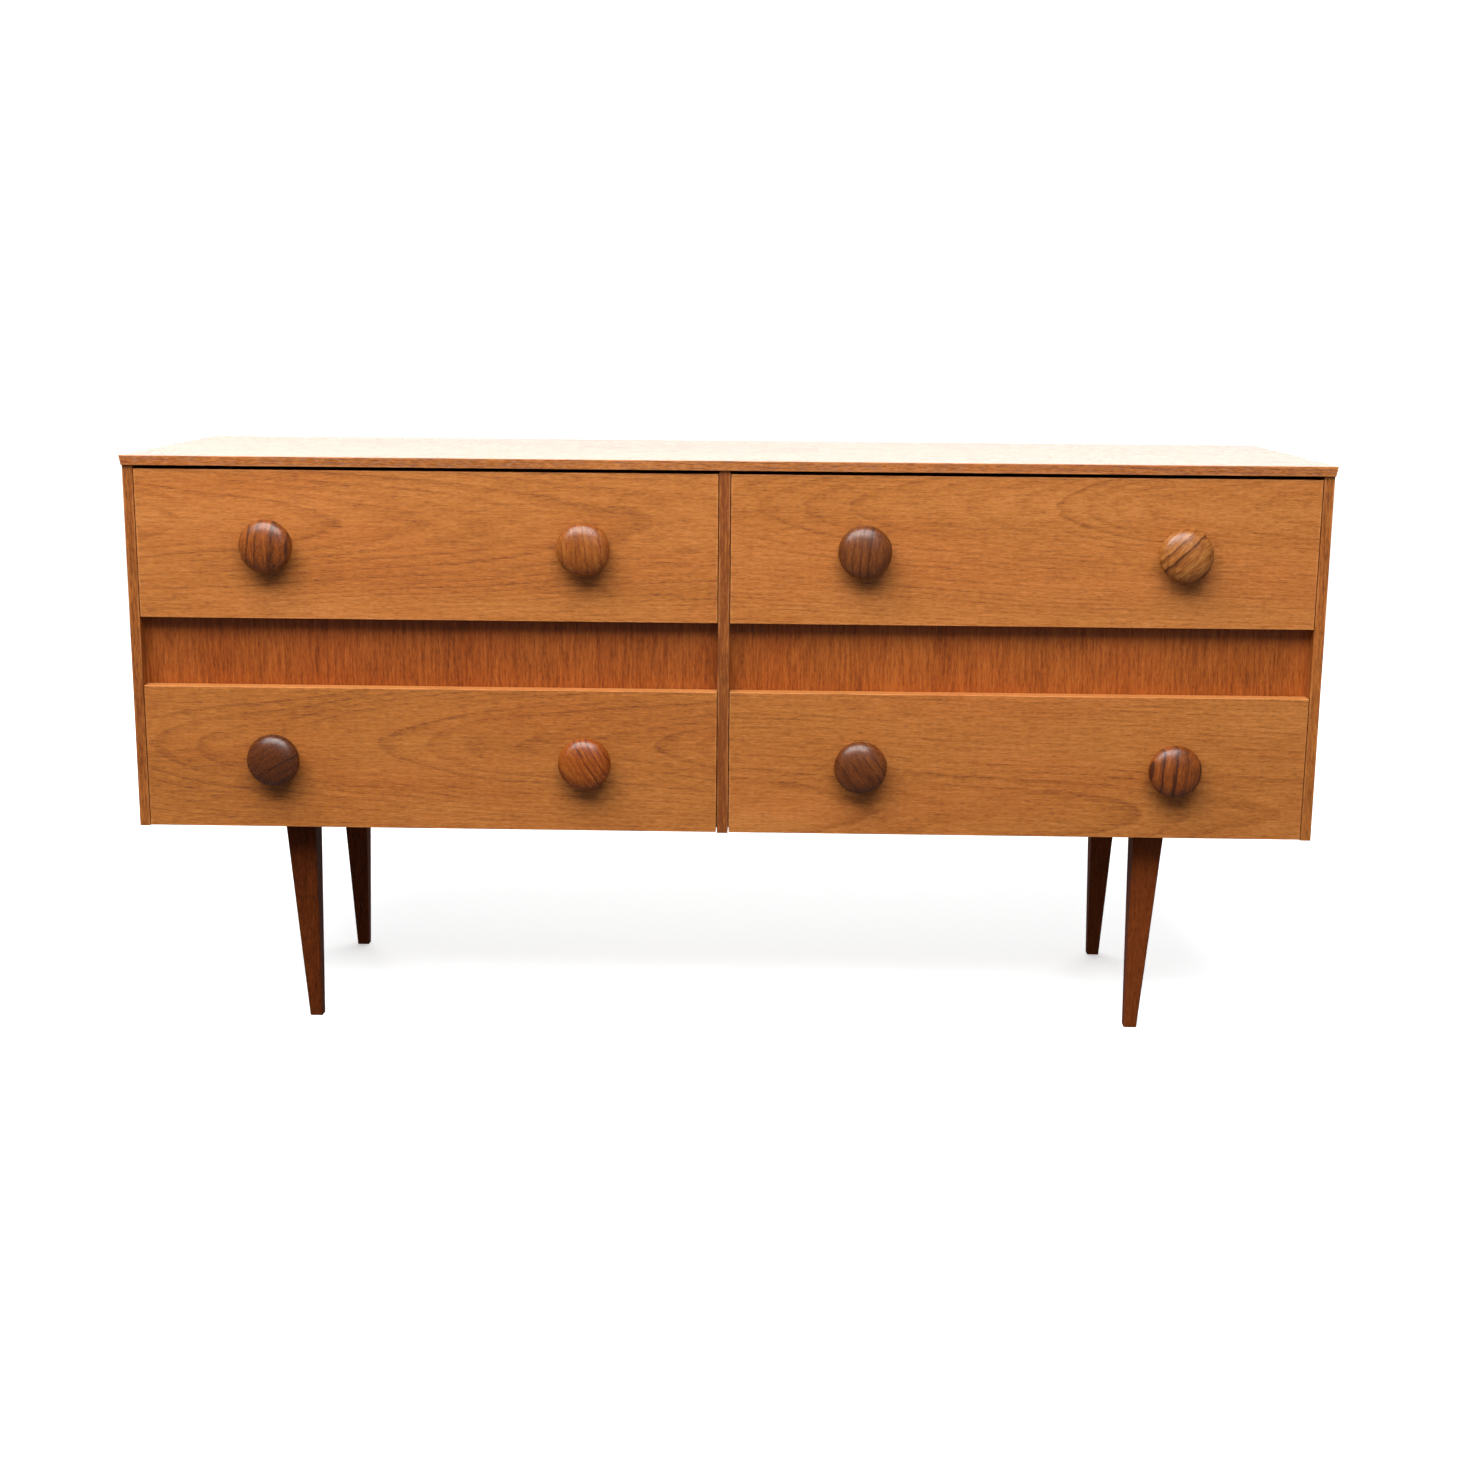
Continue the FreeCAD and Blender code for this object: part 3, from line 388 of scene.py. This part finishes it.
def dressDrawerBoxes():
    for number, drawer in enumerate(drawers):
        for count, (board, axes) in enumerate(boxBoards.items()):
            node = f"{drawer}_{board}"
            wood = {**drawerBox, **thinBoard} if board == "bottom" else drawerBox
            dress(node, timber(node, box=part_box(node), axes=axes, seed=boxSeed + 5 * number + count,
                               pith=(0.02, 0.06), slope=0.03, **wood))
    strips = [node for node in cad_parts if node.startswith("runner_") and node != "runner_screws"]
    for number, node in enumerate(sorted(strips)):
        dress(node, timber(node, box=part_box(node), axes="yzx", seed=runnerSeed + number, **drawerBox))


# legs: darker stained wood, straight grain down the leg
legs = {"axes": "zxy", "dark": (0.055, 0.012, 0.002), "mid": (0.145, 0.029, 0.005),
        "light": (0.22, 0.050, 0.010), "pith": (0.02, 0.05), "slope": 0.03, "ring": 0.004, "rough": 0.5,
        "gloss": 0.08, "bands": 0.1, "streaks": 0.5}
# how light each leg is painted: the left legs darker as painted shade and the right legs lighter as painted
# light, the light falling more from the right
paintedLegShading = {"front_left": -0.24, "front_right": 0.20, "back_right": 0.05, "back_left": -0.20}
legSeed = 60


def dressLegs():
    # each leg's tone carries its painted light and shade
    for number, (corner, tone) in enumerate(paintedLegShading.items()):
        node = f"leg_{corner}"
        low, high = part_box(node)
        middle = ((low[0] + high[0]) / 2, (low[1] + high[1]) / 2, 0.0)
        dress(node, timber(node, seed=legSeed + number, tone=tone, centre=middle, **legs))


# knobs: turned from odd blocks of wood, so each has its own colour and its own slant of grain
knobShape = {
    "neck": 0.0130,  # radius at the drawer front
    "waist": 0.0115,
    "neckLength": 0.0070,
    "flare": 0.75,  # of the half turn that takes the neck in and partly out again
    "rim": 0.56,  # widest place, as a share of the length
    "seam": 0.0006,  # by which head and neck overlap
    "swell": 2.2,  # power of the superellipse
    "neckRows": 10,
    "headRows": 56,
    "steps": 128,
}
darkKnob = {"dark": (0.028, 0.006, 0.001), "mid": (0.110, 0.025, 0.003), "light": (0.22, 0.062, 0.012)}
redKnob = {"dark": (0.10, 0.017, 0.001), "mid": (0.27, 0.054, 0.003), "light": (0.42, 0.12, 0.013)}
orangeKnob = {"dark": (0.065, 0.014, 0.002), "mid": (0.25, 0.060, 0.006), "light": (0.40, 0.130, 0.022)}
stripedKnob = {"dark": (0.085, 0.022, 0.003), "mid": (0.30, 0.088, 0.012), "light": (0.52, 0.215, 0.05)}
knobs = {
    "upper_left_knob_left": {**orangeKnob, "slant": 6, "seed": 71, "tone": -0.14, "pith": (0.24, 0.05),
                             "bands": 0.42, "ring": 0.014},
    "upper_left_knob_right": {**orangeKnob, "slant": -6, "seed": 72, "tone": 0.04, "pith": (-0.25, 0.06),
                              "bands": 0.30, "ring": 0.011},
    "upper_right_knob_left": {**darkKnob, "slant": 4, "seed": 73, "tone": 0.10, "pith": (-0.075, 0.01),
                              "bands": 0.38, "ring": 0.0085},
    "upper_right_knob_right": {**stripedKnob, "slant": 46, "seed": 79, "tone": 0.04, "pith": (0.20, 0.05),
                               "bands": 0.85, "ring": 0.0105, "streaks": 0.9},
    "lower_left_knob_left": {**darkKnob, "slant": 60, "seed": 75, "tone": -0.04, "pith": (0.20, 0.05),
                             "bands": 0.30, "ring": 0.009, "streaks": 0.5},
    "lower_left_knob_right": {**redKnob, "slant": -32, "seed": 76, "tone": 0.0, "pith": (0.20, 0.05),
                              "bands": 0.50, "ring": 0.0065},
    "lower_right_knob_left": {**darkKnob, "slant": -35, "seed": 77, "tone": 0.06, "pith": (-0.20, 0.05),
                              "bands": 0.35, "ring": 0.009},
    "lower_right_knob_right": {**orangeKnob, "slant": 4, "seed": 80, "tone": -0.22, "pith": (-0.034, 0.03),
                               "bands": 0.50, "ring": 0.0125},
}
turnedWood = {"axes": "zxy", "slope": 0.03, "wander": 0.008, "stretch": 2.0, "rough": 0.29, "gloss": 0.50,
              "rings": 0.25, "relief": 0.00006, "broad": 0.7, "streaks": 0.85, "fibres": 0.6, "ruddy": 0.4}


def knobOutline(radius, length):
    # From the drawer front outwards: a waisted neck, then a head whose section is a superellipse,
    # radius * cos(a) ** (2 / swell) across and half height * sin(a) ** (2 / swell) along, squatter behind.
    shape = knobShape
    rim = length * shape["rim"]
    neck = np.linspace(0, 1, shape["neckRows"])
    neckOut = shape["neck"] + (shape["waist"] - shape["neck"]) * np.sin(neck * math.pi * shape["flare"])
    neckUp = neck * shape["neckLength"]
    angle = np.linspace(-0.5 * math.pi, 0.5 * math.pi, shape["headRows"])
    power = 2 / shape["swell"]
    half = np.where(angle < 0, rim - shape["neckLength"] + shape["seam"], length - rim)
    headOut = radius * np.cos(angle).clip(0) ** power
    headUp = rim + half * np.sign(angle) * np.abs(np.sin(angle)) ** power
    keep = (angle > 0) | (headOut > neckOut[-1] + shape["seam"])
    return np.concatenate([neckOut, headOut[keep]]), np.concatenate([neckUp, headUp[keep]])


def ringQuads(rings, steps):
    # a quad between each two neighbouring points of a ring and the same two of the next ring
    row, column = np.meshgrid(np.arange(rings - 1), np.arange(steps), indexing="ij")
    after = (column + 1) % steps
    return np.stack([row * steps + column, (row + 1) * steps + column, (row + 1) * steps + after,
                     row * steps + after], axis=-1).reshape(-1, 4)


def smoothPiece(name, points, faces):
    mesh = bpy.data.meshes.new(name)
    mesh.from_pydata(points.tolist(), [], faces)
    mesh.polygons.foreach_set("use_smooth", np.ones(len(mesh.polygons), dtype=bool))
    mesh.update()
    piece = bpy.data.objects.new(name, mesh)
    bpy.context.collection.objects.link(piece)
    return piece


def turnedPiece(name, across, up, centre, steps):
    # the outline, carried round an axis that points to -Y: x = r cos a, z = r sin a, y = -up,
    # with a pole at each end that closes it in a fan of triangles
    onAxis = across < 1e-6
    rings, tops = across[~onAxis], up[~onAxis]
    angle = np.linspace(0, 2 * math.pi, steps, endpoint=False)
    points = np.stack([centre[0] + rings[:, None] * np.cos(angle), centre[1] - tops[:, None] + 0 * angle,
                       centre[2] + rings[:, None] * np.sin(angle)], axis=-1).reshape(-1, 3)
    poles = np.array([[centre[0], centre[1] - end, centre[2]] for end in (up[0], up[-1])])
    around = np.arange(steps)
    after = (around + 1) % steps
    pole = len(points)
    outer = (len(rings) - 1) * steps
    back = np.stack([np.full(steps, pole), around, after], axis=-1)
    front = np.stack([np.full(steps, pole + 1), outer + after, outer + around], axis=-1)
    faces = ringQuads(len(rings), steps).tolist() + back.tolist() + front.tolist()
    return smoothPiece(name, np.concatenate([points, poles]), faces)


def makeKnobs():
    for node, look in knobs.items():
        low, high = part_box(node)
        centre = ((low[0] + high[0]) / 2, high[1], (low[2] + high[2]) / 2)
        across, up = knobOutline((high[0] - low[0]) / 2, high[1] - low[1])
        piece = turnedPiece(f"{node}_turned", across, up, centre, knobShape["steps"])
        wood = {**turnedWood, **look}
        slant = math.radians(wood.pop("slant"))
        piece.data.materials.append(timber(node, centre=centre, turn=(0, slant, 0), **wood))
        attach(piece, "drawer_" + node.split("_knob")[0])
        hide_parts(node)


# hardboard back: pressed brown fibres, with the faint weave of the press screen on the outside
backBoard = {"dark": (0.09, 0.045, 0.02), "light": (0.22, 0.125, 0.06), "screen": 0.0016, "flakes": 420.0,
             "clouds": 5.0, "relief": 0.00022}


def hardboard(name, look):
    t = Tree(name)
    place = t.node("ShaderNodeTexCoord", out="Object")
    x, _, z = t.split(place)
    flake = t.noise(place, scale=look["flakes"], detail=3, rough=0.7)
    cloud = t.noise(place, scale=look["clouds"], detail=3)
    turns = 2 * math.pi / look["screen"]
    weave = (x * turns).on("SINE") * (z * turns).on("SINE")
    shade = flake * 0.7 + cloud * 0.5 + weave * 0.05
    colour = t.node("ShaderNodeValToRGB", {"stops": [(0.35, look["dark"]), (0.8, look["light"])]}, {0: shade})
    rough = 0.55 + flake * 0.25
    return t.finish(colour, rough, weave * 0.5 + flake * 0.6, look["relief"], Specular_IOR_Level=0.3)


# steel: zinc plated screws, plates, bolts and pins
zinc = {"tint": (0.56, 0.55, 0.52), "stain": (0.30, 0.27, 0.22), "spots": 160.0, "relief": 0.00004}
steelNodes = ("leg_plates", "leg_bolts", "leg_plate_screws", "runner_screws", "back_panel_pins",
              *(f"{drawer}_knob_screws" for drawer in drawers))


def platedSteel(name, look):
    t = Tree(name)
    place = t.node("ShaderNodeTexCoord", out="Object")
    x, y, z = t.split(place)
    brushed = t.noise(t.vector(x * 60.0, y * 900.0, z * 900.0), detail=2)
    spot = t.step(t.noise(place, scale=look["spots"], detail=4, rough=0.65), 0.52, 0.72)
    colour = t.mix(spot * 0.6, rgb(*look["tint"]), rgb(*look["stain"]))
    rough = 0.30 + brushed * 0.18 + spot * 0.25
    return t.finish(colour, rough, brushed * 0.5 - spot * 0.4, look["relief"], Metallic=1.0)


# studio: a pale floor that curves up all round, soft light from above, a wide card behind
studio = {"hole": 0.5, "floorReach": 7.0, "bend": 1.5, "wallHigh": 7.0, "steps": 120, "bendSteps": 24,
          "pale": (0.93, 0.93, 0.93), "nearGlow": (0.48, 0.48, 0.48), "farGlow": (0.92, 0.92, 0.92),
          "glowFrom": 1.6, "glowTo": 4.5, "sky": (0.95, 0.97, 1.0), "skyPower": 0.18}
lamps = {
    "overheadBox": {"at": (-0.5, -2.0, 3.0), "aim": (0, 0, 0.45), "size": (4.0, 2.0), "power": 222,
                    "tint": (0.97, 0.99, 1)},
    "frontBox": {"at": (1.2, -4.2, 1.9), "aim": (0, 0, 0.5), "size": (2.6, 1.8), "power": 8,
                 "tint": (1, 0.985, 0.96)},
    "backCard": {"at": (0, 2.6, 1.9), "aim": (0, -0.2, 0.7), "size": (4.5, 1.8), "power": 70,
                 "tint": (1, 1, 1)},
}


def makeFloor(s):
    # the floor's profile runs level, turns up through a quarter circle of radius bend, then climbs;
    # carried round the vertical axis, it closes the view on every side, and one flat face fills its middle
    turn = np.linspace(0, math.pi / 2, s["bendSteps"])
    out = np.concatenate([[s["hole"]], s["floorReach"] - s["bend"] * (1 - np.sin(turn)), [s["floorReach"]]])
    up = np.concatenate([[0.0], s["bend"] * (1 - np.cos(turn)), [s["wallHigh"]]])
    angle = np.linspace(0, 2 * math.pi, s["steps"], endpoint=False)
    points = np.stack([out[:, None] * np.cos(angle), out[:, None] * np.sin(angle), up[:, None] + 0 * angle],
                      axis=-1).reshape(-1, 3)
    middle = list(range(s["steps"]))
    return smoothPiece("paleFloor", points, ringQuads(len(out), s["steps"]).tolist() + [middle])


def floorPaint(s):
    # the floor glows by itself, more with the distance from its middle
    t = Tree("paleFloor")
    place = t.node("ShaderNodeTexCoord", out="Object")
    x, y, _ = t.split(place)
    grit = t.noise(place, scale=30.0, detail=3)
    far = t.step((x * x + y * y) ** 0.5, s["glowFrom"], s["glowTo"])
    colour = t.mix(grit, rgb(*s["pale"]), rgb(*(c * 0.985 for c in s["pale"])))
    glow = t.mix(far, rgb(*s["nearGlow"]), rgb(*s["farGlow"]))
    return t.finish(colour, 0.75 + grit * 0.1, grit, 0.0002, Emission_Strength=1.0, Emission_Color=glow)


def makeStudio():
    floor = makeFloor(studio)
    floor.data.materials.append(floorPaint(studio))
    floor.visible_diffuse = floor.visible_glossy = False  # a pale floor's glare stays out of the wood
    for name, look in lamps.items():
        data = bpy.data.lights.new(name, "AREA")
        data.shape = "RECTANGLE"
        data.size, data.size_y = look["size"]
        data.energy = look["power"]
        data.color = look["tint"]
        lamp = bpy.data.objects.new(name, data)
        lamp.location = look["at"]
        lamp.rotation_euler = (Vector(look["aim"]) - Vector(look["at"])).to_track_quat("-Z", "Y").to_euler()
        lamp.visible_camera = False
        bpy.context.collection.objects.link(lamp)
    world = bpy.data.worlds.new("softSky")
    world.use_nodes = True
    sky = world.node_tree.nodes["Background"]
    sky.inputs["Color"].default_value = rgb(*studio["sky"])
    sky.inputs["Strength"].default_value = studio["skyPower"]
    bpy.context.scene.world = world
    bpy.context.scene.view_settings.view_transform = "Standard"


dressCase(case)
dress("back_panel", hardboard("back_panel", backBoard))
dress("case_dowels", timber("case_dowels", seed=90, axes="xyz", **drawerBox))
print("case dressed")
dressFronts(fronts)
dressDrawerBoxes()
dressLegs()
print("fronts, drawer boxes and legs dressed")
makeKnobs()
print("knobs turned:", len(knobs))
steel = platedSteel("platedSteel", zinc)
for node in steelNodes:
    dress(node, steel)
makeStudio()
print("studio lit")
